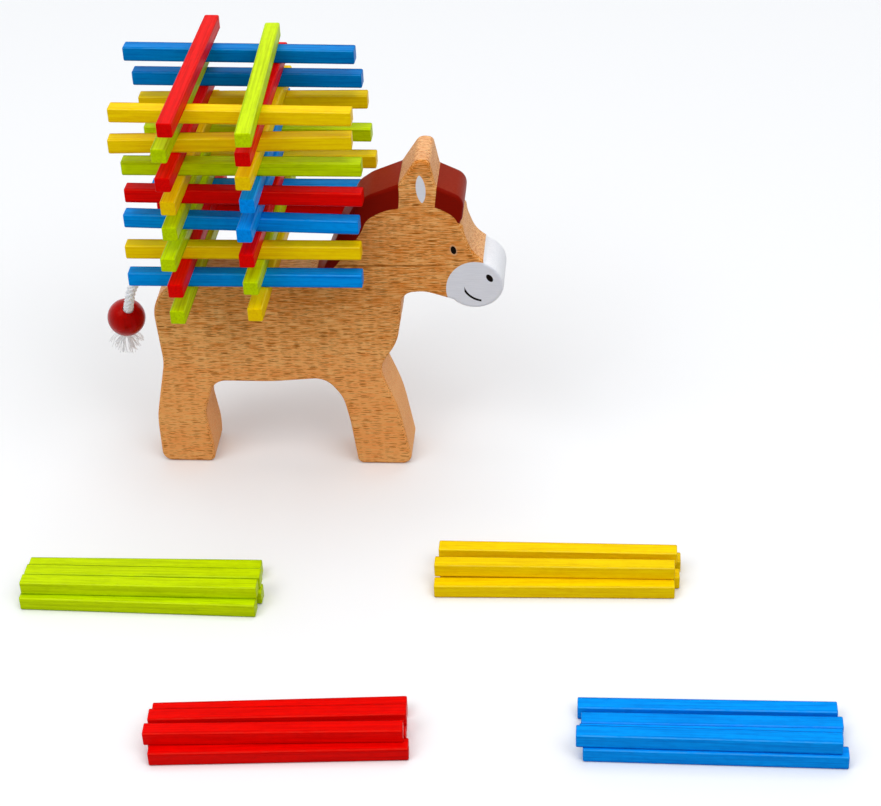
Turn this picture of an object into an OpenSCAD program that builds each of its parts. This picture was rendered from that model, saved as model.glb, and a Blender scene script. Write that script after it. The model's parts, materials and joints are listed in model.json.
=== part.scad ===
// Stacking balance game: a wooden donkey that carries a lattice of coloured sticks, with four
// loose piles of sticks on the table in front of it. The origin is the middle of the front
// hoof's sole, +X runs towards the muzzle, +Y to the back of the scene, and the table is z = 0.

/* [Donkey] */
// Thickness of the board that the donkey is sawn from
board_t = 22; // [16:1:28]
// Radius of the eased edges round both faces
edge_r = 1.5; // [0.75:0.25:2]
// Height of the flat back that carries the sticks
back_h = 92; // [88:1:98]
// Height of the arch between the legs
arch_h = 44; // [36:1:50]
// Depth of the hole in the rump that holds the tail
tail_hole_l = 10; // [6:1:14]

/* [Sticks] */
// Length of every stick
stick_l = 95; // [88:1:105]
// Side of a stick's square section
stick_s = 6; // [5:0.25:7]
// Radius of a stick's eased edges
stick_r = 0.6; // [0.3:0.1:1]

/* [Loose piles] */
// Space left between sticks that lie side by side
pile_gap = 0.1; // [0.1:0.1:1]

/* [Tail] */
// Diameter of the tail cord
cord_d = 4; // [3:0.25:4.5]
// Diameter of the wooden bead on the tail
bead_d = 16; // [13:1:19]
// Largest radius of the frayed end below the bead
fray_r = 7; // [4:0.5:8]

/* [Hidden] */
// Clear space all round the cord in the board's hole and in the bead
cord_gap = 0.3;
// Largest turn between two neighbouring points of an arc, in degrees
arc_step = 14;
// Rings across one eased edge
edge_steps = 3;

// Depth of the body from its back down to the arch, which the chest and belly share out
body_h = back_h - arch_h;

// Corners of the donkey as [x, z, radius of the rounding], from the heel of the hind hoof
// up the rump, along the back and over the head to the top of the muzzle
rump_to_nose = [
  [-96.1, 0, 4.5], [-96.1, 23, 45], [-90.3, arch_h + 0.146 * body_h, 28], [-92.8, back_h, 18],
  [-21.3, back_h, 10], [-12.4, back_h + 21.7, 60], [-4.2, back_h + 36.3, 9], [1.2, back_h + 40.1, 14],
  [13.2, back_h + 45, 1.2], [20.8, back_h + 56.4, 4], [26.2, back_h + 55.8, 2.5],
  [28.4, back_h + 44.2, 1], [39.5, back_h + 38.8, 6], [38.3, back_h + 29.6, 3],
  [37.1, back_h + 27.7, 0.5], [38.5, back_h + 26.1, 2.2], [39, back_h + 22, 12],
  [41.9, back_h + 13.9, 12], [46.3, back_h + 10.4, 4]
];

// The muzzle is an oval: middle, half-axes, and the angles where its outline starts and ends
muzzle_c = [42.2, back_h - 0.9];
muzzle_r = [12, 11.2];
muzzle_from = 66;
muzzle_to = -140;

// Corners from the chin down the chest and front leg, round the arch and down to the hind sole
chin_to_heel = [
  [31.7, back_h - 7.8, 3], [21.7, back_h - 4.6, 14], [12.2, back_h - 5.6, 0.125 * body_h],
  [11.1, back_h - 0.396 * body_h, 1.25 * body_h], [9.2, arch_h + 0.383 * body_h, 0.46 * body_h],
  [1.7, arch_h + 0.129 * body_h, 0.188 * body_h], [3.1, arch_h - 0.5, 10], [8.4, arch_h - 15, 70],
  [13.2, 0, 4], [-10.5, 0, 2.6], [-12.9, 0.5 * arch_h, 60], [-15.1, 0.78 * arch_h, 18],
  [-22.1, arch_h, 9], [-44.5, arch_h - 2.1, 80], [-69.7, arch_h - 2, 7], [-74.9, 25, 14],
  [-72.8, 9, 40], [-73.3, 0, 2.6]
];

// Where the tail's hole opens on the rump, and how steeply it rises towards its mouth
tail_mouth = [-86.2, 0, back_h - 5.6];
tail_rise = 30;

// Route of the tail cord as [x, y, z], from the mouth of the hole to just above the bead
tail_route = [
  [-89.6, -0.2, back_h - 3.8], [-93.2, -0.9, back_h - 3.1], [-96.8, -2.3, back_h - 4],
  [-99.6, -3.8, back_h - 5.8], [-101.2, -5.2, back_h - 8.6], [-102.1, -5.9, back_h - 11.8],
  [-102.9, -5.3, back_h - 14.8]
];
// Middle of the bead, and the way that its hole points: up, forwards and to the muzzle
bead_c = [-106.2, 0, back_h - 25];
bead_up = [0.286, -0.425, 0.859];
// Length of the frayed end
fray_l = 10.5;

// Sticks of the lattice as [colour, x, y, turn], lowest first. Those on the left and right lie
// across the back, and those in front and at the rear lie along it, one layer higher
stack_left = [
  ["lime", -72.5, 4, -1.4], ["red", -72, 4.5, -1.6], ["lime", -73, 4.5, -2.3], ["lime", -72.5, 8, -1.3],
  ["yellow", -71.5, 7, -1.5], ["red", -71.5, 4, -1.8], ["lime", -72, 5, -1.6], ["red", -68, 3, -1.8]
];
stack_right = [
  ["yellow", -42, 6.5, -1.2], ["lime", -42.5, 7, -1.5], ["red", -43, 8, -1.7], ["blue", -42.5, 7, -2],
  ["blue", -41.5, 9, -0.8], ["yellow", -40.5, 5.5, -2.1], ["red", -40, 2.5, -0.9], ["lime", -39.5, -4.5, 1.2]
];
stack_front = [
  ["blue", -49, -22, -0.2], ["yellow", -49, -20.5, -0.1], ["blue", -49, -18.5, -2.8], ["red", -47, -18.5, -1.7],
  ["lime", -47, -17, -0.5], ["yellow", -50, -19.5, 1.8], ["yellow", -49, -19.5, -1.9]
];
stack_rear = [
  ["red", -47.5, 34, -1], ["blue", -47.5, 29.5, -0.5], ["yellow", -47.5, 33, -0.5], ["lime", -49, 34.5, -1.2],
  ["yellow", -50.5, 39, 0.7], ["blue", -51.5, 36, -1.7], ["blue", -53.5, 33.5, -2.1]
];

// Loose sticks as [x, widths, slack, level, turn]. A stick lies that many stick widths and that
// much slack behind the pile's front stick, on the table (level 0) or on other sticks (level 1)
lime_front = -109.5;
lime_pile = [
  [-88, 0, 0, 0, -1.1], [-86.5, 1, 1.3, 0, -0.3], [-87.5, 0, 3, 1, -0.2], [-87, 1, 3.3, 1, 0],
  [-89, 3, 3.3, 0, 0.6]
];
yellow_front = -95.3;
yellow_pile = [
  [76.5, 0, 0, 0, 1.2], [78.5, 1, 0.2, 0, 1.1], [76.5, 0, 5, 1, 0.4], [79, 2, 4.8, 0, 0.3],
  [77.5, 2, 2.5, 1, -0.1]
];
red_front = -190.8;
red_pile = [
  [-20.5, 0, 0, 0, 3.7], [-22, 1, 1.2, 0, 3.5], [-22.5, 0, 3.6, 1, 3], [-22.5, 2, 2.2, 0, 3.8],
  [-22, 1, 5.7, 1, 3.7], [-23, 3, 3.6, 0, 4.2]
];
blue_front = -186.3;
blue_pile = [
  [137.5, 0, 0, 0, -0.3], [135, 0, 1, 1, -0.3], [136, 1, 2.7, 0, 0.4], [136.5, 2, 2.7, 0, 0.4],
  [135, 3, 4.4, 0, 0.5]
];

// Every stick as [name, colour, x, y, z of its underside, turn, angle of its length from +X]
function layer_z(layer) = back_h + layer * stick_s;
function lattice(place, sticks, first_layer, along) = [
  for (i = [0:len(sticks) - 1])
    [str("stack_", place, "_", i + 1), sticks[i][0], sticks[i][1], sticks[i][2],
     layer_z(2 * i + first_layer), sticks[i][3], along]
];
function pile(paint, front, sticks) = [
  for (i = [0:len(sticks) - 1])
    [str("loose_", paint, "_", i + 1), paint, sticks[i][0],
     front + sticks[i][1] * (stick_s + pile_gap) + sticks[i][2],
     sticks[i][3] * stick_s, sticks[i][4], 0]
];
all_sticks = concat(
  lattice("left", stack_left, 0, 90), lattice("right", stack_right, 0, 90),
  lattice("front", stack_front, 1, 0), lattice("rear", stack_rear, 1, 0),
  pile("lime", lime_front, lime_pile), pile("yellow", yellow_front, yellow_pile),
  pile("red", red_front, red_pile), pile("blue", blue_front, blue_pile)
);

function unit(v) = v / norm(v);
function turn_between(a, b) = (b - a + 540) % 360 - 180;
function polar(r, angle) = r * [cos(angle), sin(angle)];

// The arc that rounds corner p, reached from a and left towards b
function rounding(a, p, b, r) =
  let (
    u = unit(a - p),
    w = unit(b - p),
    half = acos(u * w) / 2,
    reach = r / tan(half),
    c = p + unit(u + w) * r / sin(half),
    s = p + u * reach - c,
    e = p + w * reach - c,
    from = atan2(s[1], s[0]),
    turn = turn_between(from, atan2(e[1], e[0])),
    n = max(1, ceil(abs(turn) / arc_step))
  )
  [for (i = [0:n]) c + polar(r, from + turn * i / n)];

function xz(v) = [v[0], v[1]];
function rounded(corners) =
  let (n = len(corners))
  [
    for (i = [0:n - 1])
      let (p = xz(corners[i]), a = xz(corners[(i + n - 1) % n]), b = xz(corners[(i + 1) % n]))
      each corners[i][2] > 0 ? rounding(a, p, b, corners[i][2]) : [p]
  ];

muzzle = [
  for (angle = [muzzle_from:-arc_step:muzzle_to])
    [muzzle_c[0] + muzzle_r[0] * cos(angle), muzzle_c[1] + muzzle_r[1] * sin(angle), 0]
];
outline = rounded(concat(rump_to_nose, muzzle, chin_to_heel));

// The outline moved inwards by d, for the rings of the eased edges
function inset(points, d) =
  let (n = len(points))
  [
    for (i = [0:n - 1])
      let (
        u = unit(points[i] - points[(i + n - 1) % n]),
        w = unit(points[(i + 1) % n] - points[i]),
        side = [u[1], -u[0]] + [w[1], -w[0]]
      )
      points[i] + side * d / (1 + u * w)
  ];

// A flat outline cut into triangles: each step takes off a corner that holds no other point
function turn_of(a, b, c) = (b[0] - a[0]) * (c[1] - a[1]) - (b[1] - a[1]) * (c[0] - a[0]);
function covers(a, b, c, p) = turn_of(a, b, p) <= 0 && turn_of(b, c, p) <= 0 && turn_of(c, a, p) <= 0;
function is_ear(points, a, b, c, left) =
  turn_of(points[a], points[b], points[c]) < 0
  && [
    for (k = left)
      if (k != a && k != b && k != c && covers(points[a], points[b], points[c], points[k])) k
  ] == [];
function next_ear(points, left, i) =
  let (n = len(left))
  is_ear(points, left[(i + n - 1) % n], left[i % n], left[(i + 1) % n], left)
    ? i % n
    : next_ear(points, left, i + 1);
function triangles(points, left, found = []) =
  len(left) == 3
    ? concat(found, [left])
    : let (n = len(left), i = next_ear(points, left, 1))
      triangles(
        points,
        [for (k = [1:n - 1]) left[(i + k) % n]],
        concat(found, [[left[(i + n - 1) % n], left[i], left[(i + 1) % n]]])
      );

module easedBoard(points, thickness, r) {
  n = len(points);
  angles = [for (i = [0:edge_steps]) 90 - 90 * i / edge_steps];
  front = [for (a = angles) [r * (1 - sin(a)) - thickness / 2, r * (1 - cos(a))]];
  back = [for (i = [edge_steps:-1:0]) [-front[i][0], front[i][1]]];
  rings = concat(front, back);
  last = len(rings) - 1;
  corners = [
    for (ring = rings)
      for (p = inset(points, ring[1]))
        [p[0], ring[0], p[1]]
  ];
  walls = [
    for (k = [0:last - 1])
      for (i = [0:n - 1])
        let (j = (i + 1) % n)
        [k * n + i, (k + 1) * n + i, (k + 1) * n + j, k * n + j]
  ];
  face = triangles(inset(points, r), [for (i = [0:n - 1]) i]);
  back_face = [for (t = face) [for (i = [2:-1:0]) last * n + t[i]]];
  polyhedron(corners, concat(walls, face, back_face), convexity = 8);
}

module donkey() {
  color("burlywood")
    difference() {
      easedBoard(outline, board_t, edge_r);
      translate(tail_mouth)
        rotate([0, 90 + tail_rise, 0])
          translate([0, 0, -tail_hole_l / 3])
            cylinder(h = 4 / 3 * tail_hole_l, d = cord_d + 2 * cord_gap, $fn = 32);
    }
}

// A tube of the given diameter along a row of points
module tube(points, d) {
  sides = 10;
  n = len(points);
  corners = [
    for (i = [0:n - 1])
      let (
        along = unit(points[min(i + 1, n - 1)] - points[max(i - 1, 0)]),
        across = unit(cross([0, 1, 0], along)),
        aside = cross(along, across)
      )
      for (k = [0:sides - 1])
        let (angle = 360 * k / sides)
        points[i] + d / 2 * (across * cos(angle) + aside * sin(angle))
  ];
  walls = [
    for (i = [0:n - 2])
      for (k = [0:sides - 1])
        let (m = (k + 1) % sides)
        [i * sides + k, i * sides + m, (i + 1) * sides + m, (i + 1) * sides + k]
  ];
  start = [for (k = [sides - 1:-1:0]) k];
  end = [for (k = [0:sides - 1]) (n - 1) * sides + k];
  polyhedron(corners, concat(walls, [start, end]));
}

// A smooth curve through points, with the given number of steps between neighbours
function smooth(points, steps) =
  let (n = len(points))
  concat(
    [
      for (i = [0:n - 2])
        let (a = points[max(i - 1, 0)], b = points[i], c = points[i + 1], d = points[min(i + 2, n - 1)])
        for (k = [0:steps - 1])
          let (t = k / steps)
          b + t / 2 * (c - a) + t * t * (a - 2.5 * b + 2 * c - d / 2) + pow(t, 3) * (1.5 * b - a / 2 - 1.5 * c + d / 2)
    ],
    [points[n - 1]]
  );

// The cord leaves the bead's hole in line with it, half a millimetre beyond either end
bead_hole = unit(bead_up) * (bead_d / 2 + 0.5);
tail_start = tail_mouth + tail_hole_l * [cos(tail_rise), 0, -sin(tail_rise)];
tail_end = bead_c - bead_hole + [0.3, 0.3, -2];
tail_curve = concat(
  smooth(concat([tail_start, tail_mouth], tail_route, [bead_c + bead_hole]), 3),
  [bead_c - bead_hole, tail_end + [0, 0, 1], tail_end]
);

module tailCord() {
  color("white")
    tube(tail_curve, cord_d);
}

module tailBead() {
  color("firebrick")
    translate(bead_c)
      rotate([0, acos(unit(bead_up)[2]), atan2(bead_up[1], bead_up[0])])
        difference() {
          sphere(d = bead_d, $fn = 64);
          cylinder(h = bead_d + 2, d = cord_d + 2 * cord_gap, center = true, $fn = 32);
        }
}

// The frayed end: a knot as wide as the bead's hole, then fibres that spread to a blunt brush
module tailTassel() {
  knot_r = cord_d / 2 + 1;
  color("ivory")
    translate(tail_end)
      rotate_extrude($fn = 32)
        polygon([
          [0, 0], [cord_d / 2, 0], [knot_r, -0.8], [knot_r + 0.2, -1.8], [0.55 * fray_r, -0.4 * fray_l],
          [0.85 * fray_r, -0.7 * fray_l], [fray_r, -0.93 * fray_l], [0.8 * fray_r, -fray_l], [0, -fray_l]
        ]);
}

// A square stick along X with its middle at the origin of x and y, all edges eased
module easedSquare(length, width) {
  for (x = [-1, 1], y = [-1, 1])
    translate([x * (length / 2 - stick_r), y * (width / 2 - stick_r)])
      circle(r = stick_r, $fn = 24);
  square([length, width - 2 * stick_r], center = true);
  square([length - 2 * stick_r, width], center = true);
}

module stick(paint) {
  color(paint)
    translate([0, 0, stick_s / 2])
      intersection() {
        linear_extrude(stick_s, center = true)
          easedSquare(stick_l, stick_s);
        rotate([90, 0, 90])
          linear_extrude(stick_l, center = true)
            easedSquare(stick_s, stick_s);
        rotate([90, 0, 0])
          linear_extrude(stick_s, center = true)
            easedSquare(stick_l, stick_s);
      }
}

function paint_of(name) =
  name == "lime" ? "yellowgreen" : name == "yellow" ? "gold" : name == "blue" ? "dodgerblue" : "red";

donkey();
tailCord();  // tail_cord
tailBead();  // tail_bead
tailTassel();  // tail_tassel
for (s = all_sticks)
  translate([s[2], s[3], s[4]])
      rotate(s[5] + s[6])
        stick(paint_of(s[1]));
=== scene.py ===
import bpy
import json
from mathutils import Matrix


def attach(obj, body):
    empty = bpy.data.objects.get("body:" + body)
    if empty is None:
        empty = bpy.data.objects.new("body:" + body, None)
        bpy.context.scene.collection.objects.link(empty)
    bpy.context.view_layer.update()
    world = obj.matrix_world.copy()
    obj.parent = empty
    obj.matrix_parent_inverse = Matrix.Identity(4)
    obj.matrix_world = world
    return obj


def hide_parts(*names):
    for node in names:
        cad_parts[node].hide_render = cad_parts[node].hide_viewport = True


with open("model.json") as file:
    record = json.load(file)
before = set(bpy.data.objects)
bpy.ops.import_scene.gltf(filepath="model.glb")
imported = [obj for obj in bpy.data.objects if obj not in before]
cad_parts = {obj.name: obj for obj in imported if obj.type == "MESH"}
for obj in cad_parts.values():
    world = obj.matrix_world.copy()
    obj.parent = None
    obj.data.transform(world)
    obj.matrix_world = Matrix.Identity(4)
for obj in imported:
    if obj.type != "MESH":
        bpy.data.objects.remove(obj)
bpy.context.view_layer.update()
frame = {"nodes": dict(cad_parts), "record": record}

import json
import math
import random

import bmesh
import bpy
import numpy as np
from mathutils import Matrix, Vector

# A balance game: a beech donkey that carries a lattice of coloured sticks, and four loose piles

# Lengths in the settings are in mm. Those of the camera, the studio, the cord's route and the
# bumps are in metres.
mm = 0.001
plainWhite = (1, 1, 1, 1)
slotOfNode = {part["node"]: part["material_slot"] for part in frame["record"]["subparts"]}


# Camera

cameraSettings = {
    "place": (0.1044, -0.7620, 0.5617),
    "yaw": -5.95,  # degrees from straight ahead, to the left where it is negative
    "pitch": 35.03,  # degrees downwards
    "roll": -2.75,
    "focalPixels": 2188,
    "pictureWidth": 881,
    "sensorWidth": 36,  # mm
    "clip": (0.01, 50),
}


def placeCamera(settings):
    yaw, pitch, roll = (math.radians(settings[key]) for key in ("yaw", "pitch", "roll"))
    ahead = Vector((
        math.sin(yaw) * math.cos(pitch), math.cos(yaw) * math.cos(pitch), -math.sin(pitch),
    ))
    level = Vector((math.cos(yaw), -math.sin(yaw), 0))
    upright = level.cross(ahead)
    right = level * math.cos(roll) + upright * math.sin(roll)
    up = upright * math.cos(roll) - level * math.sin(roll)
    bpy.ops.object.camera_add(location=settings["place"])
    camera = bpy.context.object
    camera.rotation_euler = Matrix((right, up, -ahead)).transposed().to_euler()
    camera.data.sensor_width = settings["sensorWidth"]
    camera.data.lens = settings["sensorWidth"] * settings["focalPixels"] / settings["pictureWidth"]
    camera.data.clip_start, camera.data.clip_end = settings["clip"]
    bpy.context.scene.camera = camera
    print("camera placed")


placeCamera(cameraSettings)


# Small helpers for modelling

def pickOnly(*things):
    bpy.ops.object.select_all(action="DESELECT")
    for thing in things:
        thing.select_set(True)
    bpy.context.view_layer.objects.active = things[0]


def applyModifier(piece, kind, **settings):
    modifier = piece.modifiers.new(kind.lower(), kind)
    for key, value in settings.items():
        setattr(modifier, key, value)
    pickOnly(piece)
    bpy.ops.object.modifier_apply(modifier=modifier.name)


def bakePlace(piece):
    pickOnly(piece)
    bpy.ops.object.transform_apply(location=True, rotation=True, scale=True)


def smoothBelow(piece, degrees):
    pickOnly(piece)
    bpy.ops.object.shade_smooth_by_angle(angle=math.radians(degrees))


def finishPiece(piece, material, node):
    piece.data.materials.clear()
    piece.data.materials.append(material)
    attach(piece, "root")
    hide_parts(node)


# Small helpers for materials

def linear(*levels):
    # from a screen's levels, 0 to 255, to the shares that a shader takes
    shares = (
        ((level / 255 + 0.055) / 1.055) ** 2.4 if level > 10 else level / 255 / 12.92
        for level in levels
    )
    return (*shares, 1)


def startMaterial(name):
    material = bpy.data.materials.new(name)
    material.use_nodes = True
    tree = material.node_tree
    return material, tree, tree.nodes["Principled BSDF"]


def fillInputs(tree, node, inputs):
    for socket, value in inputs.items():
        if isinstance(value, bpy.types.NodeSocket):
            tree.links.new(value, node.inputs[socket])
        else:
            node.inputs[socket].default_value = value


def addNode(tree, kind, inputs=(), output=0, **settings):
    node = tree.nodes.new(kind)
    for key, value in settings.items():
        setattr(node, key, value)
    fillInputs(tree, node, dict(inputs))
    return node.outputs[output]


def maths(tree, operation, a, b=0.0, c=0.0):
    return addNode(tree, "ShaderNodeMath", {0: a, 1: b, 2: c}, operation=operation)


def times(tree, first, *others):
    for other in others:
        first = maths(tree, "MULTIPLY", first, other)
    return first


def vectorMaths(tree, operation, a, b=(0, 0, 0), output=0):
    return addNode(tree, "ShaderNodeVectorMath", {0: a, 1: b}, output, operation=operation)


def mixColours(tree, share, first, second, kind="MIX"):
    node = tree.nodes.new("ShaderNodeMix")
    node.data_type = "RGBA"
    node.blend_type = kind
    fillInputs(tree, node, {0: share, 6: first, 7: second})  # the last two are its colours
    return node.outputs[2]


def ramp(tree, value, low, high, start=0.0, end=1.0):
    return addNode(
        tree, "ShaderNodeMapRange",
        {"Value": value, "From Min": low, "From Max": high, "To Min": start, "To Max": end},
    )


def band(tree, value, middle, blur):
    # 0 below the middle and 1 above it, or the other way round where blur is negative
    return ramp(tree, value, middle - blur, middle + blur)


def axes(tree, vector):
    node = tree.nodes.new("ShaderNodeSeparateXYZ")
    tree.links.new(vector, node.inputs[0])
    return tuple(node.outputs)


def noise(tree, place, stretch, detail, roughness=0.5, output=0):
    stretched = addNode(tree, "ShaderNodeMapping", {"Vector": place, "Scale": stretch})
    return addNode(
        tree, "ShaderNodeTexNoise",
        {"Vector": stretched, "Scale": 1.0, "Detail": detail, "Roughness": roughness}, output,
    )


def addBump(tree, shader, height, strength, distance):
    bump = addNode(
        tree, "ShaderNodeBump", {"Strength": strength, "Distance": distance, "Height": height},
    )
    tree.links.new(bump, shader.inputs["Normal"])


# Donkey: a board sawn to shape, its edges eased, its rump bored for the tail

donkey = {
    "thickness": 22,
    "easedEdge": 1.5,
    "edgeRings": 5,
    "arcStep": 5,  # degrees between the points of an arc
    # corners as (x, z, radius) in mm, from the heel of the hind hoof over the back to the nose
    "rumpToNose": [
        (-96.1, 0, 4.5), (-96.1, 23, 45), (-90.3, 51, 28), (-92.8, 92, 18), (-21.3, 92, 10),
        (-12.4, 113.7, 60), (-4.2, 128.3, 9), (1.2, 132.1, 14), (13.2, 137, 1.2), (20.8, 148.4, 4),
        (26.2, 147.8, 2.5), (28.4, 136.2, 1), (39.5, 130.8, 6), (38.3, 121.6, 3),
        (37.1, 119.7, 0.5), (38.5, 118.1, 2.2), (39, 114, 12), (41.9, 105.9, 12), (46.3, 102.4, 4),
    ],
    # an oval arc, clockwise from start to end in degrees
    "muzzle": {"middle": (42.2, 91.1), "reach": (12, 11.2), "start": 66, "end": -140, "step": 4},
    "chinToHeel": [
        (31.7, 84.2, 3), (21.7, 87.4, 14), (12.2, 86.4, 6), (11.1, 73, 60), (9.2, 62.4, 22),
        (1.7, 50.2, 9), (3.1, 43.5, 10), (8.4, 29, 70), (13.2, 0, 4), (-10.5, 0, 2.6),
        (-12.9, 22, 60), (-15.1, 34.3, 18), (-22.1, 44, 9), (-44.5, 41.9, 80), (-69.7, 42, 7),
        (-74.9, 25, 14), (-72.8, 9, 40), (-73.3, 0, 2.6),
    ],
    "tailHole": {"mouth": (-86.2, 86.4), "rise": 30, "depth": 10, "width": 4.6, "sides": 48},
    "smoothBelow": 35,  # degrees between two faces
}


def roundedOutline(corners, step):
    # each corner becomes an arc of its radius, and one without a radius stays a point
    outline = []
    for i, (x, z, radius) in enumerate(corners):
        corner = Vector((x, z))
        if radius == 0:
            outline.append(corner)
            continue
        toLast = (Vector(corners[i - 1][:2]) - corner).normalized()
        toNext = (Vector(corners[(i + 1) % len(corners)][:2]) - corner).normalized()
        half = toLast.angle(toNext) / 2
        middle = corner + (toLast + toNext).normalized() * radius / math.sin(half)
        reach = radius / math.tan(half)
        first = corner + toLast * reach - middle
        last = corner + toNext * reach - middle
        start = math.atan2(first.y, first.x)
        turn = (math.atan2(last.y, last.x) - start + 3 * math.pi) % (2 * math.pi) - math.pi
        steps = max(2, math.ceil(abs(math.degrees(turn)) / step))
        for k in range(steps + 1):
            angle = start + turn * k / steps
            outline.append(middle + radius * Vector((math.cos(angle), math.sin(angle))))
    return outline


def insetOutline(outline, depth):
    # each point moves so far inwards that both edges beside it move by this depth
    moved = []
    for i, point in enumerate(outline):
        before = (point - outline[i - 1]).normalized()
        after = (outline[(i + 1) % len(outline)] - point).normalized()
        side = Vector((before.y + after.y, -before.x - after.x))
        moved.append(point + side * depth / (1 + before.dot(after)))
    return moved


def shapeRing(board, points, depth):
    # the ring that is picked takes the outline's places, at this depth
    mesh = bmesh.from_edit_mesh(board.data)
    for vert in mesh.verts:
        if vert.select:
            point = points[vert[mesh.verts.layers.int["place"]]]
            vert.co = Vector((point.x, depth, point.y)) * mm
    bmesh.update_edit_mesh(board.data)


def donkeyOutline(settings):
    muzzle = settings["muzzle"]
    curve = []
    for angle in range(muzzle["start"], muzzle["end"] - 1, -muzzle["step"]):
        turn = math.radians(angle)
        curve.append((
            muzzle["middle"][0] + muzzle["reach"][0] * math.cos(turn),
            muzzle["middle"][1] + muzzle["reach"][1] * math.sin(turn), 0,
        ))
    corners = settings["rumpToNose"] + curve + settings["chinToHeel"]
    return roundedOutline(corners, settings["arcStep"])


def boreHole(board, hole):
    slant = math.radians(hole["rise"])
    along = Vector((math.cos(slant), 0, -math.sin(slant)))
    mouth = Vector((hole["mouth"][0], 0, hole["mouth"][1]))
    bpy.ops.mesh.primitive_cylinder_add(
        vertices=hole["sides"], radius=hole["width"] / 2 * mm,
        depth=4 / 3 * hole["depth"] * mm,  # a quarter of the drill stays outside
        location=(mouth + along * hole["depth"] / 3) * mm,
        rotation=along.to_track_quat("Z", "Y").to_euler(),
    )
    drill = bpy.context.object
    applyModifier(board, "BOOLEAN", object=drill, operation="DIFFERENCE", solver="EXACT")
    bpy.data.objects.remove(drill)


def sawDonkey(settings):
    outline = donkeyOutline(settings)
    half, ease, rings = settings["thickness"] / 2, settings["easedEdge"], settings["edgeRings"]
    bpy.ops.mesh.primitive_circle_add(vertices=len(outline), fill_type="NOTHING")
    board = bpy.context.object
    board.name = board.data.name = "donkeyBoard"
    bpy.ops.object.mode_set(mode="EDIT")
    mesh = bmesh.from_edit_mesh(board.data)
    place = mesh.verts.layers.int.new("place")
    mesh.verts.ensure_lookup_table()
    for vert in mesh.verts:
        vert[place] = vert.index
    shapeRing(board, outline, 0)
    for k in range(rings + 1):  # from the middle of the edge to the front face, round the easing
        bpy.ops.mesh.extrude_edges_move()
        turn = math.pi / 2 * k / rings
        shapeRing(
            board, insetOutline(outline, ease * (1 - math.cos(turn))),
            -(half - ease + ease * math.sin(turn)),
        )
    bpy.ops.mesh.edge_face_add()
    bpy.ops.object.mode_set(mode="OBJECT")
    applyModifier(board, "MIRROR", use_axis=(False, True, False), merge_threshold=1e-5)
    bpy.ops.object.mode_set(mode="EDIT")
    bpy.ops.mesh.select_all(action="SELECT")
    bpy.ops.mesh.normals_make_consistent(inside=False)
    bpy.ops.object.mode_set(mode="OBJECT")
    boreHole(board, settings["tailHole"])
    smoothBelow(board, settings["smoothBelow"])
    applyModifier(board, "WEIGHTED_NORMAL", keep_sharp=True, weight=100)
    print("donkey sawn:", len(board.data.polygons), "faces")
    return board


# Beech with the donkey's painted places, each place as (x, height)

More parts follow.
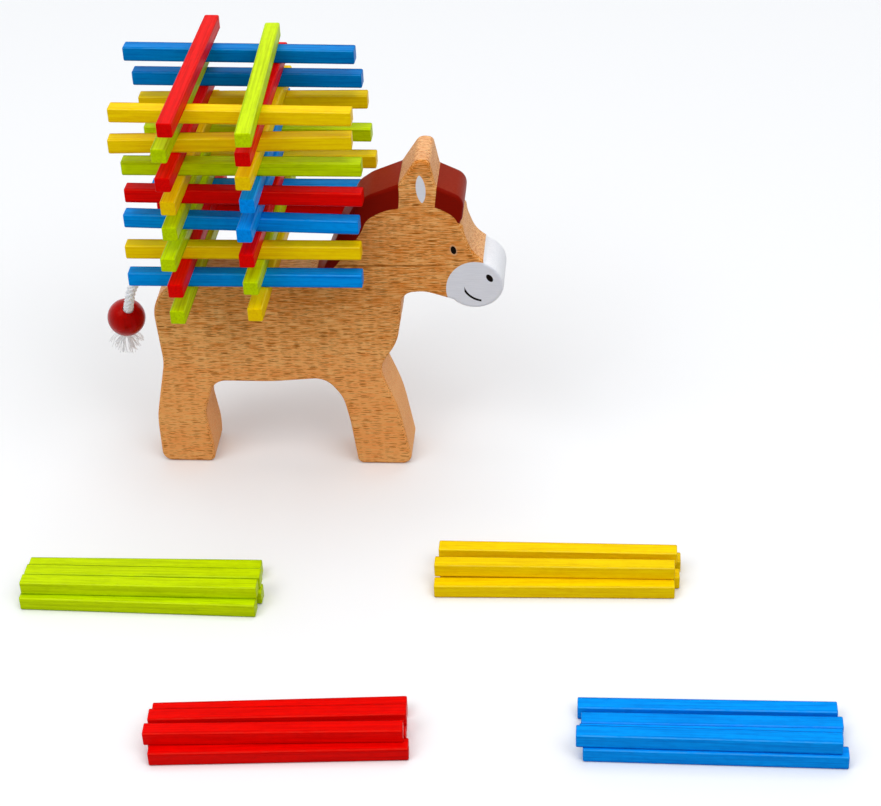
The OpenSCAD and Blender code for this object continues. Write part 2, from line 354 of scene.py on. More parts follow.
beech = {
    "wood": linear(250, 170, 88),
    "pale": linear(255, 198, 126),
    "deep": linear(214, 120, 40),
    "plainShare": 0.5,  # how much of the plain wood lies over its pale and deep bands
    "fleck": linear(134, 72, 0),
    "sawn": linear(255, 218, 182),  # the sawn edge, paler than the faces
    "legWood": linear(255, 173, 98),  # painted light: the legs are painted paler and brighter than the body, which lies in the lattice's shade
    "legFleck": linear(156, 82, 0),
    # painted light: a brightening of the legs' colour, held below white
    "legTint": (1.12, 1.1, 1.15, 1),
    "legs": (66.0, 36.0),  # the heights between which the painted light on the legs comes in
    "legShare": 0.6,
    "sawnShare": 0.5,
    # a stretch says how often a pattern repeats in a mm
    "bands": {"stretch": (0.006, 0.05, 0.09), "detail": 3.0, "roughness": 0.55},
    "bandLevels": (0.35, 0.65),  # between these levels of the noise the bands turn pale
    "fibres": {"stretch": (0.13, 2.0, 2.0), "detail": 4.0, "roughness": 0.65},
    "paleFibres": (0.49, 0.36),
    "deepFibres": (0.49, 0.62),
    "wander": {"stretch": (0.03, 0.05, 0.05), "detail": 1.0},
    "wanderBy": (0, 2.2, 2.2),
    # the two sorts of fleck, as (stretch, offset, size, strength)
    "flecks": [((0.19, 2.7, 2.7), 0.0, 0.44, 1.0), ((0.34, 4.0, 4.0), 31.0, 0.46, 0.7)],
    "fleckRim": (0.03, -0.05),  # a fleck fades in between these distances from its rim
    "fleckDepth": (0.5, 0.42),  # how much deeper on the faces, and the depth on the sawn edge
    "grainLine": {"height": 99.9, "rise": 0.012, "width": 0.5, "waver": 1.2, "depth": 0.8,
                  "from": (-30, -10), "to": (33, 25)},
    "knot": {"middle": (-1.4, 88.9), "reach": (1.1, 0.6), "blur": 0.6, "depth": 0.75},
    "faceFrom": (10.6, 10.8),  # from the board's middle: the flat of a face
    "sideFrom": (9.3, 9.9),  # the face with its eased edge
    "roughness": (0.25, 0.42),  # the fibres' share, and the least
    "paintedRoughness": -0.14,  # what paint adds
    "gloss": 0.06,
    "glossTint": (1.0, 0.5, 0.3, 1.0),
    "relief": {"fibres": 0.35, "flecks": 0.5, "filledByPaint": 0.7},
    "bump": {"strength": 0.25, "distance": 0.0002},
    "paintBlur": 0.08,
    "paintWear": (0.40, 0.66),  # between these levels of the fibres the paint is worn
    "wearDepth": 0.25,
    "mane": linear(132, 14, 3),
    "maneEdge": linear(150, 34, 2),  # painted light: the mane's paint on the sawn edge, which mostly faces up, is made paler than on the face
    "maneWorn": linear(96, 9, 2),
    # where the mane's paint ends on the face, as (height, x) left of the ear
    "maneLeft": [
        (92, -24), (96, -18), (98.9, -14.7), (101.7, -12.4), (107, -8.6), (112.5, -4.6),
        (116, -2.4), (120.5, -0.3), (123.5, 3.5), (125.4, 7.6), (126.2, 10.6), (126.6, 12.9),
        (127.5, 13.1), (140, 13.4),
    ],
    "maneFoot": (93.2, 93.6),  # the heights between which its paint starts
    # and as (x, height) right of the ear, where the paint also ends at the ear's steep edge
    "maneRight": [
        (26, 127.6), (27.5, 127.1), (32.3, 124.8), (35.4, 122.1), (36.9, 119.6), (38, 119.3),
        (40, 119.3),
    ],
    "maneFront": 27.0,
    "earEdge": {"slope": 8.0, "height": -92.8, "blur": 0.4},
    "white": linear(236, 237, 244),
    "whiteWorn": linear(206, 207, 216),
    # painted light: the same white, made brighter on the sawn edge than on the face
    "whiteEdge": linear(252, 252, 254),
    "muzzle": {"middle": (42.73, 88.9), "reach": (12.07, 13.1)},
    "muzzleEdge": {"middle": (42.3, 91), "reach": (12.9, 12.3)},
    "muzzleCorner": (46.1, 91.9),
    "earSpot": {"middle": (22.3, 135.4), "reach": (1.9, 6.2), "lean": 3},
    "ink": linear(8, 7, 7),
    "eye": {"middle": (34.3, 107.5), "reach": (1.1, 1.9), "lean": 10},
    "eyeRing": {"middle": (34.3, 107.5), "reach": (1.54, 2.66), "lean": 10, "blur": 0.3},
    "eyeRingColour": linear(225, 200, 170),
    "eyeRingDepth": 0.3,
    "nostril": {"middle": (48.5, 94.4), "reach": (1.15, 1.95), "lean": 32},
    "smile": {"middle": (46.08, 92.37), "radius": 8.7, "width": 0.95, "from": 38.1, "to": 44.9},
}


def inFlat(tree, inMm):
    return vectorMaths(tree, "MULTIPLY", inMm, (1, 0, 1))


def placeInOval(tree, flat, middle, reach, lean=0.0):
    # places measured in the oval's reaches, so that its middle is 0 and its rim 1 away
    return addNode(
        tree, "ShaderNodeMapping",
        {"Vector": flat, "Location": (middle[0], 0, middle[1]),
         "Rotation": (0, math.radians(-lean), 0), "Scale": (reach[0], 1, reach[1])},
        vector_type="TEXTURE",
    )


def ovalMask(tree, flat, middle, reach, lean=0.0, blur=0.12):
    soft = blur / min(reach)
    distance = vectorMaths(
        tree, "LENGTH", placeInOval(tree, flat, middle, reach, lean), output="Value",
    )
    return ramp(tree, distance, 1 + soft / 2, 1 - soft / 2)


def curveThrough(tree, value, points):
    # a smooth line through (input, output) points in mm
    low, high = points[0][0], points[-1][0]
    outs = [p[1] for p in points]
    bottom, top = min(outs), max(outs)
    node = tree.nodes.new("ShaderNodeFloatCurve")
    curve = node.mapping.curves[0]
    for i, (a, b) in enumerate(points):
        at = ((a - low) / (high - low), (b - bottom) / (top - bottom))
        if i < 2:
            curve.points[i].location = at
        else:
            curve.points.new(*at)
    node.mapping.update()
    tree.links.new(ramp(tree, value, low, high), node.inputs["Value"])
    return maths(tree, "MULTIPLY_ADD", node.outputs[0], top - bottom, bottom)


def growFlecks(tree, look, inMm):
    # short dark flecks, one to a cell, in rows that wander a little
    wander = vectorMaths(
        tree, "MULTIPLY", noise(tree, inMm, **look["wander"], output="Color"), look["wanderBy"],
    )
    bent = vectorMaths(tree, "ADD", inMm, wander)
    sorts = []
    for stretch, offset, size, strength in look["flecks"]:
        cell = tree.nodes.new("ShaderNodeTexVoronoi")
        stretched = addNode(
            tree, "ShaderNodeMapping",
            {"Vector": bent, "Scale": stretch, "Location": (offset, offset, offset)},
        )
        fillInputs(tree, cell, {"Vector": stretched, "Scale": 1.0})
        reach = times(tree, axes(tree, cell.outputs["Color"])[0], size)
        outside = maths(tree, "SUBTRACT", cell.outputs["Distance"], reach)
        sorts.append(times(tree, ramp(tree, outside, *look["fleckRim"]), strength))
    return maths(tree, "MAXIMUM", *sorts)


def growWood(tree, look, inMm, onSide, fibres, fleck):
    # the grain runs along the donkey: long soft bands, fine fibres, flecks, one line and a knot
    x, _, z = axes(tree, inMm)
    bands = noise(tree, inMm, **look["bands"])
    wood = mixColours(tree, ramp(tree, bands, *look["bandLevels"]), look["deep"], look["pale"])
    wood = mixColours(tree, look["plainShare"], wood, look["wood"])
    onEdge = maths(tree, "MULTIPLY_ADD", onSide, -look["sawnShare"], look["sawnShare"])
    wood = mixColours(tree, onEdge, wood, look["sawn"])
    wood = mixColours(tree, ramp(tree, fibres, *look["paleFibres"]), wood, look["pale"])
    wood = mixColours(tree, ramp(tree, fibres, *look["deepFibres"]), wood, look["deep"])
    # painted light: the legs are made paler and brighter than the body, which stays in the
    # lattice's shade
    inLegs = ramp(tree, z, *look["legs"])
    wood = mixColours(tree, times(tree, inLegs, look["legShare"]), wood, look["legWood"])
    fleckDepth = times(tree, fleck, maths(tree, "MULTIPLY_ADD", onSide, *look["fleckDepth"]))
    fleckColour = mixColours(tree, inLegs, look["fleck"], look["legFleck"])
    wood = mixColours(tree, fleckDepth, wood, fleckColour)
    wood = mixColours(tree, inLegs, wood, look["legTint"], "MULTIPLY")
    wood = vectorMaths(tree, "MINIMUM", wood, (1, 1, 1))

    line = look["grainLine"]
    height = maths(tree, "MULTIPLY_ADD", x, line["rise"], line["height"])
    waver = times(tree, maths(tree, "SUBTRACT", bands, 0.5), line["waver"])
    offLine = maths(tree, "ADD", maths(tree, "ABSOLUTE", maths(tree, "SUBTRACT", z, height)), waver)
    lineDepth = times(
        tree, ramp(tree, offLine, line["width"], 0.0), ramp(tree, x, *line["from"]),
        ramp(tree, x, *line["to"]), line["depth"],
    )
    wood = mixColours(tree, lineDepth, wood, look["fleck"])
    knot = look["knot"]
    onKnot = ovalMask(tree, inFlat(tree, inMm), knot["middle"], knot["reach"], blur=knot["blur"])
    return mixColours(tree, times(tree, onKnot, knot["depth"]), wood, look["fleck"])


def maneMask(tree, look, inMm):
    x, _, z = axes(tree, inMm)
    blur, ear = look["paintBlur"], look["earEdge"]
    pastRim = maths(tree, "SUBTRACT", curveThrough(tree, z, look["maneLeft"]), x)
    left = times(tree, band(tree, pastRim, 0.0, blur), ramp(tree, z, *look["maneFoot"]))
    pastRim = maths(tree, "SUBTRACT", z, curveThrough(tree, x, look["maneRight"]))
    overEar = maths(
        tree, "SUBTRACT", z, maths(tree, "MULTIPLY_ADD", x, ear["slope"], ear["height"]),
    )
    right = times(
        tree, band(tree, pastRim, 0.0, blur), band(tree, x, look["maneFront"], 0.1),
        band(tree, overEar, 0.0, -ear["blur"]),
    )
    return maths(tree, "MAXIMUM", left, right)


def muzzleMask(tree, look, inMm, onFace):
    # the paint reaches farther back on the face than on the sawn edge
    x, _, z = axes(tree, inMm)
    flat = inFlat(tree, inMm)
    pastCorner = maths(
        tree, "MAXIMUM", band(tree, x, look["muzzleCorner"][0], 0.1),
        band(tree, z, look["muzzleCorner"][1], -0.1),
    )
    edge = times(tree, ovalMask(tree, flat, **look["muzzleEdge"]), pastCorner)
    return ramp(tree, onFace, 0.0, 1.0, edge, ovalMask(tree, flat, **look["muzzle"]))


def earSpotMask(tree, look, inMm):
    # an almond shape, blunt at its sides and pointed at its ends
    across, _, along = axes(tree, placeInOval(tree, inFlat(tree, inMm), **look["earSpot"]))
    across = maths(tree, "POWER", maths(tree, "ABSOLUTE", across), 1.5)
    along = maths(tree, "POWER", maths(tree, "ABSOLUTE", along), 2.0)
    return band(tree, maths(tree, "ADD", across, along), 1.0, -0.05)


def inkMask(tree, look, inMm):
    # eye, nostril and smile
    x, _, z = axes(tree, inMm)
    flat, smile = inFlat(tree, inMm), look["smile"]
    fromMiddle = vectorMaths(
        tree, "LENGTH", placeInOval(tree, flat, smile["middle"], (1, 1)), output="Value",
    )
    offLine = maths(tree, "ABSOLUTE", maths(tree, "SUBTRACT", fromMiddle, smile["radius"]))
    line = times(
        tree, band(tree, offLine, smile["width"] / 2, -0.06), band(tree, x, smile["from"], 0.1),
        band(tree, x, smile["to"], -0.1), band(tree, z, smile["middle"][1], -0.1),
    )
    dots = (ovalMask(tree, flat, **look[name]) for name in ("eye", "nostril"))
    return maths(tree, "MAXIMUM", maths(tree, "MAXIMUM", *dots), line)


def beechMaterial(look):
    material, tree, shader = startMaterial("beechAndPaint")
    place = addNode(tree, "ShaderNodeTexCoord", output="Object")
    inMm = addNode(tree, "ShaderNodeVectorMath", {0: place, "Scale": 1000.0}, operation="SCALE")
    fromMiddle = maths(tree, "ABSOLUTE", axes(tree, inMm)[1])
    onFace = ramp(tree, fromMiddle, *look["faceFrom"])
    onSide = ramp(tree, fromMiddle, *look["sideFrom"])
    fibres = noise(tree, inMm, **look["fibres"])
    fleck = growFlecks(tree, look, inMm)
    mane = maneMask(tree, look, inMm)
    muzzle = muzzleMask(tree, look, inMm, onFace)

    worn = times(tree, ramp(tree, fibres, *look["paintWear"]), look["wearDepth"])
    # painted light: on the sawn edge the mane's red is paler than on the face
    manePaint = mixColours(tree, onSide, look["maneEdge"], look["mane"])
    manePaint = mixColours(tree, worn, manePaint, look["maneWorn"])
    # painted light: the white is brighter on the sawn edge than on the face
    whitePaint = mixColours(tree, onFace, look["whiteEdge"], look["white"])
    whitePaint = mixColours(tree, worn, whitePaint, look["whiteWorn"])
    earSpot = times(tree, earSpotMask(tree, look, inMm), onFace)
    eyeRing = ovalMask(tree, inFlat(tree, inMm), **look["eyeRing"])
    eyeRing = times(tree, eyeRing, onFace, look["eyeRingDepth"])
    ink = times(tree, inkMask(tree, look, inMm), onFace)
    colour = growWood(tree, look, inMm, onSide, fibres, fleck)
    for mask, paint in (
        (mane, manePaint), (muzzle, whitePaint), (earSpot, whitePaint),
        (eyeRing, look["eyeRingColour"]), (ink, look["ink"]),
    ):
        colour = mixColours(tree, mask, colour, paint)

    painted = maths(tree, "MAXIMUM", mane, muzzle)
    bare = maths(tree, "MULTIPLY_ADD", fibres, *look["roughness"])
    fillInputs(tree, shader, {
        "Base Color": colour,
        "Roughness": maths(tree, "MULTIPLY_ADD", painted, look["paintedRoughness"], bare),
        "Specular IOR Level": look["gloss"],
        "Specular Tint": look["glossTint"],
    })
    relief = look["relief"]
    hollows = times(tree, fleck, relief["flecks"])
    height = maths(tree, "SUBTRACT", times(tree, fibres, relief["fibres"]), hollows)
    unfilled = maths(tree, "MULTIPLY_ADD", painted, -relief["filledByPaint"], 1.0)
    addBump(tree, shader, times(tree, height, unfilled), **look["bump"])
    return material


finishPiece(sawDonkey(donkey), beechMaterial(beech), "donkey")


# Sticks: one is modelled, then copied to the place of every stick in the lattice and the piles

sticks = {
    "length": 95,
    "side": 6,
    "longEase": 0.65,
    "endEase": 0.5,
    "smoothBelow": 50,  # degrees between two faces
    "seed": 7,  # for the tones, each from 0 to 1
    "deepTones": {"stack_rear_6": -2.6, "stack_rear_7": -2.6},  # painted shade: the two blue sticks on top, darkened all over for the shade on their fronts
    "toneValue": (0.10, 0.95),  # a tone's factor and base
    "toneShift": 700.0,  # each tone has its own part of the grain
    # a stretch says how often a pattern repeats in a mm
    "streaks": {"stretch": (0.035, 1.1, 1.1), "detail": 4.0, "roughness": 0.6},
    "mottle": {"stretch": (0.25, 0.5, 0.5), "detail": 2.0},
    # depths of colour as (from level, to level, least, most)
    "streakDepth": (0.42, 0.70, 0.0, 0.75),
    "mottleDepth": (0.45, 0.75, 0.0, 0.3),
    # wear and painted highlight: the long edges turn paler in patches
    "edgeWear": (0.3, 0.6, 0.1, 0.45),
    "endDepth": 0.3,
    "edgeFrom": (2.45, 2.9),  # from the stick's middle, where the wear and painted highlight on its long edges start
    "endFrom": (47.0, 47.4),  # and where its sawn end starts
    "roughness": (0.22, 0.30),  # the streaks' share, and the least
    "gloss": 0.1,
    "bump": {"strength": 0.3, "distance": 0.00015},
    # each paint's worn colour is the paler paint of the long edges, partly wear and partly painted
    # highlight
    "paints": {
        "lime_stick": {
            "paint": linear(210, 238, 0), "deep": linear(168, 192, 0),
            "worn": linear(222, 242, 70), "glossTint": (0.8, 1.0, 0.05, 1.0),
        },
        "yellow_stick": {
            "paint": linear(253, 219, 0), "deep": linear(232, 182, 0),
            "worn": linear(255, 234, 96), "glossTint": (1.0, 0.85, 0.2, 1.0),
        },
        "red_stick": {
            "paint": linear(246, 4, 0), "deep": linear(206, 0, 0),
            "worn": linear(252, 66, 48), "glossTint": (1.0, 0.2, 0.15, 1.0),
        },
        "blue_stick": {
            "paint": linear(0, 158, 254), "deep": linear(0, 116, 216),
            "worn": linear(104, 194, 252), "glossTint": (0.0, 0.7, 1.0, 1.0),
        },
    },
}


def cutStick(settings):
    length, side = settings["length"] * mm, settings["side"] * mm
    bpy.ops.mesh.primitive_cube_add(size=1)
    stick = bpy.context.object
    stick.name = stick.data.name = "stickPattern"
    stick.scale = (length, side, side)
    bakePlace(stick)
    bpy.ops.object.mode_set(mode="EDIT")
    bpy.ops.mesh.select_mode(type="EDGE")
    for alongStick, ease in ((True, "longEase"), (False, "endEase")):  # long edges, then the ends'
        bpy.ops.mesh.select_all(action="DESELECT")
        mesh = bmesh.from_edit_mesh(stick.data)
        for edge in mesh.edges:
            isLong = abs(edge.verts[0].co.x - edge.verts[1].co.x) > 0.5 * length
            atEnd = min(abs(v.co.x) for v in edge.verts) > 0.499 * length
            outer = len(edge.link_faces) == 2 and edge.calc_face_angle(0) > 0.3
            edge.select_set(isLong if alongStick else (atEnd and outer))
        bmesh.update_edit_mesh(stick.data)
        bpy.ops.mesh.bevel(offset=settings[ease] * mm, segments=3, profile=0.5, affect="EDGES")
    bpy.ops.object.mode_set(mode="OBJECT")
    smoothBelow(stick, settings["smoothBelow"])
    applyModifier(stick, "WEIGHTED_NORMAL", keep_sharp=True, weight=100)
    print("stick cut:", len(stick.data.polygons), "faces")
    return stick


def paintMaterial(name, paints, settings):
    # "stickPlace" is the place on the unturned stick in mm, and "stickTone" each stick's own tone
    material, tree, shader = startMaterial(name)
    own = addNode(tree, "ShaderNodeAttribute", output="Vector", attribute_name="stickPlace")
    tone = addNode(tree, "ShaderNodeAttribute", output="Fac", attribute_name="stickTone")
    shifted = vectorMaths(tree, "ADD", own, times(tree, tone, settings["toneShift"]))
    streaks = noise(tree, shifted, **settings["streaks"])
    mottle = noise(tree, shifted, **settings["mottle"])
    x, y, z = (maths(tree, "ABSOLUTE", axis) for axis in axes(tree, own))
    onEdge = ramp(tree, maths(tree, "MINIMUM", y, z), *settings["edgeFrom"])
    onEnd = ramp(tree, x, *settings["endFrom"])
    # wear and painted highlight: paler patches along all the long edges
    wearAndHighlight = times(tree, onEdge, ramp(tree, mottle, *settings["edgeWear"]))
    colour = paints["paint"]
    for mask, paint in (
        (ramp(tree, streaks, *settings["streakDepth"]), "deep"),
        (ramp(tree, mottle, *settings["mottleDepth"]), "deep"),
        (wearAndHighlight, "worn"), (times(tree, onEnd, settings["endDepth"]), "deep"),
    ):
        colour = mixColours(tree, mask, colour, paints[paint])
    value = maths(tree, "MULTIPLY_ADD", tone, *settings["toneValue"])
    fillInputs(tree, shader, {
        "Base Color": addNode(tree, "ShaderNodeHueSaturation", {"Value": value, "Color": colour}),
        "Roughness": maths(tree, "MULTIPLY_ADD", streaks, *settings["roughness"]),
        "Specular IOR Level": settings["gloss"],
        "Specular Tint": paints["glossTint"],
    })
    addBump(tree, shader, streaks, **settings["bump"])
    return material


def placeOfStick(node):
    # the middle and the turn of a CAD stick, its long side pointing right or away
    places = np.array([v.co for v in node.data.vertices])
    middle = (places.min(0) + places.max(0)) / 2
    along = np.linalg.eigh(np.cov((places - middle)[:, :2].T))[1][:, -1]
    along = along * math.copysign(1, max(along, key=abs))
    turn = Matrix.Rotation(math.atan2(along[1], along[0]), 4, "Z")
    return Matrix.Translation(Vector(middle)) @ turn


def laySticks(settings):
    pattern = cutStick(settings)
    own = (np.array([v.co for v in pattern.data.vertices]) / mm).astype(np.float32)
    materials = {
        slot: paintMaterial(slot.replace("_stick", "Paint"), paints, settings)
        for slot, paints in settings["paints"].items()
    }
    dice = random.Random(settings["seed"])
    names = [name for name in sorted(frame["nodes"]) if slotOfNode[name] in materials]
    for name in names:
        mesh = pattern.data.copy()
        tone = settings["deepTones"].get(name, dice.random())
        place = mesh.attributes.new("stickPlace", "FLOAT_VECTOR", "POINT")
        place.data.foreach_set("vector", own.ravel())
        tones = mesh.attributes.new("stickTone", "FLOAT", "POINT")
        tones.data.foreach_set("value", [tone] * len(own))
        mesh.transform(placeOfStick(frame["nodes"][name]))
        stick = bpy.data.objects.new(
            "stick" + "".join(word.capitalize() for word in name.split("_")), mesh,
        )
        mesh.name = stick.name
        bpy.context.scene.collection.objects.link(stick)
        finishPiece(stick, materials[slotOfNode[name]], name)
    bpy.data.objects.remove(pattern)
    print("sticks laid:", len(names))


laySticks(sticks)


# Tail: braided cord out of the rump, through a bead, frayed below it

tail = {
    # the cord's route in metres, from the bottom of its hole in the rump to its frayed end
    "route": [
        (-0.07754, 0, 0.0814), (-0.0862, 0, 0.0864), (-0.0896, -0.0002, 0.0882),
        (-0.0932, -0.0009, 0.0889), (-0.0968, -0.0023, 0.0880), (-0.0996, -0.0038, 0.0862),
        (-0.1012, -0.0052, 0.0834), (-0.1021, -0.0059, 0.0802), (-0.1029, -0.0053, 0.0772),
        (-0.10377, -0.00361, 0.0743), (-0.1062, 0, 0.0670), (-0.10863, 0.00361, 0.0597),
        (-0.10833, 0.00391, 0.0587), (-0.10833, 0.00391, 0.0577),
    ],
    "routeSteps": 24,
    "exit": (-0.0862, 0, 0.0864),
    "width": 4.0,
    "strandsEachWay": 4,
    "strandWidth": 1.2,
    "turnLength": 8.0,
    "weave": 0.42,
    "pointsBetweenCrossings": 5,
    "coreGap": 0.3,
    # the cotton's colours, with a glow of painted light that brightens it in shade
    "colours": {"base": linear(255, 255, 255), "dusk": linear(214, 216, 222), "glow": 0.08},
}


def smoothRoute(points, steps):
    # a smooth curve through all the points
    route = []
    for i in range(len(points) - 1):
        a, b, c, d = (points[min(max(i + k, 0), len(points) - 1)] for k in (-1, 0, 1, 2))
        for k in range(steps):
            t = k / steps
            route.append(
                b + (c - a) * t / 2 + (a - 2.5 * b + 2 * c - d / 2) * t * t
                + (1.5 * b - a / 2 - 1.5 * c + d / 2) * t ** 3
            )
    return route + [points[-1]]


def threadAlong(name, points, width, roundness=1):
    curve = bpy.data.curves.new(name, "CURVE")
    curve.dimensions = "3D"
    curve.bevel_depth = width / 2
    curve.bevel_resolution = roundness
    curve.use_fill_caps = True
    spline = curve.splines.new("POLY")
    spline.points.add(len(points) - 1)
    spline.points.foreach_set("co", [c for p in points for c in (*p, 1)])
    thread = bpy.data.objects.new(name, curve)
    bpy.context.scene.collection.objects.link(thread)
    return thread


def threadsToMesh(threads, name):
    pickOnly(*threads)
    bpy.ops.object.convert(target="MESH")
    pickOnly(*threads)
    bpy.ops.object.join()
    piece = bpy.context.object
    piece.name = piece.data.name = name
    pickOnly(piece)
    bpy.ops.object.shade_smooth()
    return piece


def braidTail(settings):
    route = smoothRoute([Vector(place) for place in settings["route"]], settings["routeSteps"])
    lengths = [0.0]
    for a, b in zip(route, route[1:]):
        lengths.append(lengths[-1] + (b - a).length)
    total = lengths[-1]
    count, weave, strandWidth = (settings[k] for k in ("strandsEachWay", "weave", "strandWidth"))
    turnLength = settings["turnLength"] * mm
    core = settings["width"] / 2 - strandWidth / 2 - weave * 0.5
    samples = int(total / turnLength * 2 * count * settings["pointsBetweenCrossings"])
    threads = []
    for way in (1, -1):
        for k in range(count):
            points = []
            for s in range(samples + 1):
                at = total * s / samples
                i = min(max(int(np.searchsorted(lengths, at)), 1), len(route) - 1)
                share = (at - lengths[i - 1]) / max(lengths[i] - lengths[i - 1], 1e-9)
                ahead = (route[min(i + 1, len(route) - 1)] - route[max(i - 2, 0)]).normalized()
                out = Vector((0, 1, 0)).cross(ahead).normalized()
                across = ahead.cross(out)
                turn = 2 * math.pi * at / turnLength
                reach = (core + way * weave * math.cos(count * turn)) * mm
                angle = way * turn + 2 * math.pi * k / count
                middle = route[i - 1].lerp(route[i], share)
                points.append(middle + reach * (out * math.cos(angle) + across * math.sin(angle)))
            threads.append(threadAlong("strand", points, strandWidth * mm))
    coreWidth = (core * 2 - settings["coreGap"]) * mm
    threads.append(threadAlong("core", route[::6] + [route[-1]], coreWidth, 3))
    cord = threadsToMesh(threads, "braidedTailCord")
    print("tail cord braided, length", round(total, 4))
    return cord, route, total


bead = {
    "middle": (-106.2, 0, 67),
    "up": (0.286, -0.425, 0.859),
    "width": 16,
    "hole": 4.64,
    "rimEase": 0.4,
    "segments": 64,
    "rings": 32,
    "smoothBelow": 60,
    "lacquer": linear(178, 1, 0),
    "deep": linear(122, 0, 0),
    "pale": linear(204, 6, 2),
    # a stretch says how often a pattern repeats in a metre
    "grain": {"stretch": (900, 900, 160), "detail": 3.0},
    "clouds": {"stretch": (180, 180, 180), "detail": 2.0},
    # depths of colour and the roughness as (from level, to level, at the first, at the last)
    "grainDepth": (0.4, 0.7, 0.0, 0.35),
    "cloudDepth": (0.45, 0.7, 0.0, 0.4),
    "roughness": (0.3, 0.7, 0.16, 0.28),
    "gloss": 0.3,
    "glossTint": (1.0, 0.14, 0.1, 1.0),
    "bump": {"strength": 0.15, "distance": 0.0001},
}


def turnBead(settings):
    bpy.ops.mesh.primitive_uv_sphere_add(
        segments=settings["segments"], ring_count=settings["rings"],
        radius=settings["width"] / 2 * mm,
    )
    ball = bpy.context.object
    ball.name = ball.data.name = "lacqueredBead"
    bpy.ops.object.mode_set(mode="EDIT")
    bpy.ops.mesh.select_mode(type="VERT")
    bpy.ops.mesh.select_all(action="DESELECT")
    mesh = bmesh.from_edit_mesh(ball.data)
    hole = settings["hole"] / 2 * mm
    for vert in mesh.verts:
        vert.select_set(math.hypot(vert.co.x, vert.co.y) < hole - 1e-5)
    bmesh.update_edit_mesh(ball.data)
    bpy.ops.mesh.delete(type="VERT")
    bpy.ops.mesh.select_all(action="DESELECT")
    bpy.ops.mesh.select_mode(type="EDGE")
    mesh = bmesh.from_edit_mesh(ball.data)
    for edge in mesh.edges:
        edge.select_set(edge.is_boundary)
    bmesh.update_edit_mesh(ball.data)
    bpy.ops.mesh.bridge_edge_loops()
    bpy.ops.mesh.select_all(action="DESELECT")
    mesh = bmesh.from_edit_mesh(ball.data)
    for edge in mesh.edges:  # the two rims of the hole
        edge.select_set(len(edge.link_faces) == 2 and edge.calc_face_angle(0) > 0.6)
    bmesh.update_edit_mesh(ball.data)
    bpy.ops.mesh.bevel(offset=settings["rimEase"] * mm, segments=3, profile=0.5, affect="EDGES")
    bpy.ops.mesh.select_all(action="SELECT")
    bpy.ops.mesh.normals_make_consistent(inside=False)
    bpy.ops.object.mode_set(mode="OBJECT")
    ball.rotation_euler = Vector(settings["up"]).to_track_quat("Z", "Y").to_euler()
    ball.location = Vector(settings["middle"]) * mm
    bakePlace(ball)
    smoothBelow(ball, settings["smoothBelow"])
    print("bead turned")
    return ball


brush = {
    "top": (-108.33, 3.91, 57.7),
    "knot": {"points": 60, "reach": 0.72, "height": 0.8, "drop": 1.0, "width": 1.7},
    # bundles as (count of fibres, heading in degrees, spread, slope from upright, length)
    "bundles": [
        (18, 30, 60, 16, 9.8), (13, 340, 50, 24, 9.2), (12, 200, 70, 26, 8.8), (9, 5, 22, 76, 9.4),
        (10, 182, 26, 76, 9.2), (9, 190, 40, 58, 8.6), (8, 350, 40, 56, 8.0), (6, 120, 50, 50, 7.0),
    ],
    "fibreWidth": 0.2,
    "fibreSteps": 10,
    "seed": 11,
    "slopeSpread": 0.22,
    "leastSlope": 2,
    "lengthShare": (0.72, 1.0),
    "startFrom": 0.7,  # from the middle of the knot
    "droop": 0.2,  # how much less a fibre spreads towards its tip
    "bend": 0.3,  # and how much more upright it hangs there
    "curl": (0.2, 0.9),
    "curlTurns": (5, 4),  # radians along a fibre, across the tail both ways
    # the fibres' colours, with a glow of painted light that brightens them in shade
    "colours": {"base": linear(255, 255, 255), "dusk": linear(188, 190, 196), "glow": 0.12},
}


def knotPoints(top, knot):
    # a trefoil, which keeps the bead on
    points = []
    for i in range(knot["points"] + 1):
        t = 2 * math.pi * i / knot["points"]
        points.append((top + Vector((
            (2 + math.cos(3 * t)) * math.cos(2 * t) * knot["reach"],
            (2 + math.cos(3 * t)) * math.sin(2 * t) * knot["reach"],
            math.sin(3 * t) * knot["height"] - knot["drop"],
        ))) * mm)
    return points


def fibrePoints(settings, way, lean, reach, curl, phase):
    # a fibre leaves the knot sideways, hangs over and curls a little
    top, drop, steps = Vector(settings["top"]), settings["knot"]["drop"], settings["fibreSteps"]
    turnX, turnY = settings["curlTurns"]
    points = []
    for s in range(steps + 1):
        t = s / steps
        outward = t - settings["droop"] * t * t
        sideways = settings["startFrom"] + reach * math.sin(lean) * outward
        hang = math.cos(lean * (1 - settings["bend"] * t))
        points.append((top + Vector((
            sideways * math.cos(way) + curl * math.sin(turnX * t + phase) * t,
            sideways * math.sin(way) + curl * math.cos(turnY * t + phase) * t,
            -drop - reach * hang * t,
        ))) * mm)
    return points


def frayBrush(settings):
    dice = random.Random(settings["seed"])
    knot = settings["knot"]
    knotRoute = knotPoints(Vector(settings["top"]), knot)
    threads = [threadAlong("knot", knotRoute, knot["width"] * mm, 2)]
    for count, heading, spread, slope, length in settings["bundles"]:
        for _ in range(count):
            way = math.radians(heading + dice.uniform(-spread, spread))
            lean = slope + dice.gauss(0, settings["slopeSpread"]) * (slope + 12)
            lean = math.radians(max(settings["leastSlope"], lean))
            reach = length * dice.uniform(*settings["lengthShare"])
            curl, phase = dice.uniform(*settings["curl"]), dice.uniform(0, 2 * math.pi)
            points = fibrePoints(settings, way, lean, reach, curl, phase)
            threads.append(threadAlong("fibre", points, settings["fibreWidth"] * mm))
    piece = threadsToMesh(threads, "frayedTailEnd")
    print("tail end frayed")
    return piece


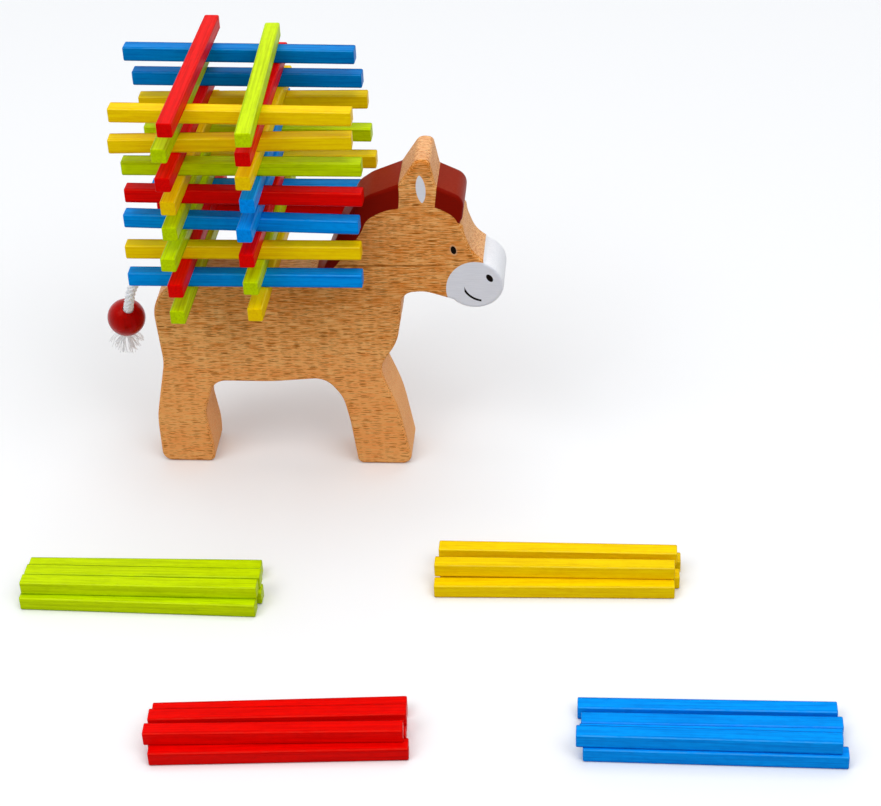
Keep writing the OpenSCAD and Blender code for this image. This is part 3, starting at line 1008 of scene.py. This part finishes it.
cotton = {
    # a stretch says how often a pattern repeats in a metre
    "fluff": {"stretch": (2600, 2600, 2600), "detail": 4.0, "roughness": 0.7},
    "patches": {"stretch": (420, 420, 420), "detail": 2.0},
    "fluffDepth": (0.35, 0.7),
    "patchDepth": (0.5, 0.75, 0.0, 0.4),
    "roughness": 0.9,
    "sheen": 0.4,
    "bump": {"strength": 0.5, "distance": 0.00012},
}


def cottonMaterial(name, colours):
    material, tree, shader = startMaterial(name)
    place = addNode(tree, "ShaderNodeTexCoord", output="Object")
    fluff = noise(tree, place, **cotton["fluff"])
    patches = noise(tree, place, **cotton["patches"])
    colour = colours["base"]
    for cloud, depth in ((fluff, "fluffDepth"), (patches, "patchDepth")):
        colour = mixColours(tree, ramp(tree, cloud, *cotton[depth]), colour, colours["dusk"])
    fillInputs(tree, shader, {
        "Base Color": colour,
        "Roughness": cotton["roughness"],
        "Sheen Weight": cotton["sheen"],
        "Emission Color": plainWhite,
        "Emission Strength": colours["glow"],  # painted light: a glow that brightens the cotton where it lies in shade
    })
    addBump(tree, shader, fluff, **cotton["bump"])
    return material


def lacquerMaterial(look):
    material, tree, shader = startMaterial("redLacquer")
    place = addNode(tree, "ShaderNodeTexCoord", output="Object")
    grain = noise(tree, place, **look["grain"])
    clouds = noise(tree, place, **look["clouds"])
    colour = mixColours(tree, ramp(tree, grain, *look["grainDepth"]), look["lacquer"], look["deep"])
    colour = mixColours(tree, ramp(tree, clouds, *look["cloudDepth"]), colour, look["pale"])
    fillInputs(tree, shader, {
        "Base Color": colour,
        "Roughness": ramp(tree, clouds, *look["roughness"]),
        "Specular IOR Level": look["gloss"],
        "Specular Tint": look["glossTint"],
    })
    addBump(tree, shader, clouds, **look["bump"])
    return material


tailCord, tailRoute, tailLength = braidTail(tail)
tailBead = turnBead(bead)
tailBrush = frayBrush(brush)
finishPiece(tailCord, cottonMaterial("braidedCotton", tail["colours"]), "tail_cord")
finishPiece(tailBead, lacquerMaterial(bead), "tail_bead")
finishPiece(tailBrush, cottonMaterial("cottonFibres", brush["colours"]), "tail_tassel")


# Floor, lamps and surroundings

studio = {
    "floorSize": 8.0,
    "floorHeight": -0.00005,
    "floor": 0.55,  # how pale the floor is for the light that it throws back
    "floorSeen": 0.97,  # how pale the camera sees the floor, with its shadows kept
    "floorLift": 0.01,
    "farFloor": (0.9, 3.4),  # between these distances the camera's floor is lifted by up to farLift
    "farLift": 0.75,
    "surroundings": 0.42,  # the strength and tint of the light from all around
    "airTint": (0.94, 0.98, 1.04, 1),
    "lampAim": (0, -0.05, 0.05),
    "lamps": [
        # name, place, side of the square lamp, power in watts
        ("lampLeft", (-1.05, -1.0, 2.0), 1.3, 15.5),
        ("lampRight", (1.0, -1.0, 2.0), 1.3, 15.5),
        ("lampAbove", (0.05, 0.5, 2.4), 1.6, 17.5),
    ],
}


def seenByCamera(tree):
    # 1 for what the camera sees, also in a mirror or through glass
    paths = tree.nodes.new("ShaderNodeLightPath")
    seen = maths(tree, "MAXIMUM", paths.outputs["Is Camera Ray"], paths.outputs["Is Glossy Ray"])
    return maths(tree, "MAXIMUM", seen, paths.outputs["Is Transmission Ray"])


def layFloor(settings):
    bpy.ops.mesh.primitive_plane_add(
        size=settings["floorSize"], location=(0, 0, settings["floorHeight"]),
    )
    floor = bpy.context.object
    floor.name = "studioFloor"
    material, tree, shader = startMaterial("paleFloor")
    seen = seenByCamera(tree)
    grey = maths(
        tree, "MULTIPLY_ADD", seen, settings["floorSeen"] - settings["floor"], settings["floor"],
    )
    place = addNode(tree, "ShaderNodeTexCoord", output="Object")
    distance = vectorMaths(tree, "LENGTH", place, output="Value")
    lift = ramp(tree, distance, *settings["farFloor"], settings["floorLift"], settings["farLift"])
    fillInputs(tree, shader, {
        "Base Color": addNode(tree, "ShaderNodeCombineColor", {0: grey, 1: grey, 2: grey}),
        "Roughness": 0.9,
        "Specular IOR Level": 0.0,
        "Emission Color": plainWhite,
        "Emission Strength": times(tree, seen, lift),
    })
    floor.data.materials.append(material)
    print("floor laid")


def lightStudio(settings):
    world = bpy.data.worlds.new("studioAir")
    bpy.context.scene.world = world
    world.use_nodes = True
    tree = world.node_tree
    seen = seenByCamera(tree)
    fillInputs(tree, tree.nodes["Background"], {
        "Color": mixColours(tree, seen, settings["airTint"], plainWhite),
        "Strength": maths(
            tree, "MULTIPLY_ADD", seen, 1 - settings["surroundings"], settings["surroundings"],
        ),
    })
    for name, place, side, power in settings["lamps"]:
        bpy.ops.object.light_add(type="AREA", location=place)
        lamp = bpy.context.object
        lamp.name = name
        lamp.data.shape = "SQUARE"
        lamp.data.size = side
        lamp.data.energy = power
        towards = Vector(settings["lampAim"]) - Vector(place)
        lamp.rotation_euler = towards.to_track_quat("-Z", "Y").to_euler()
    print("studio lit")


layFloor(studio)
lightStudio(studio)
bpy.context.scene.view_settings.view_transform = "Standard"
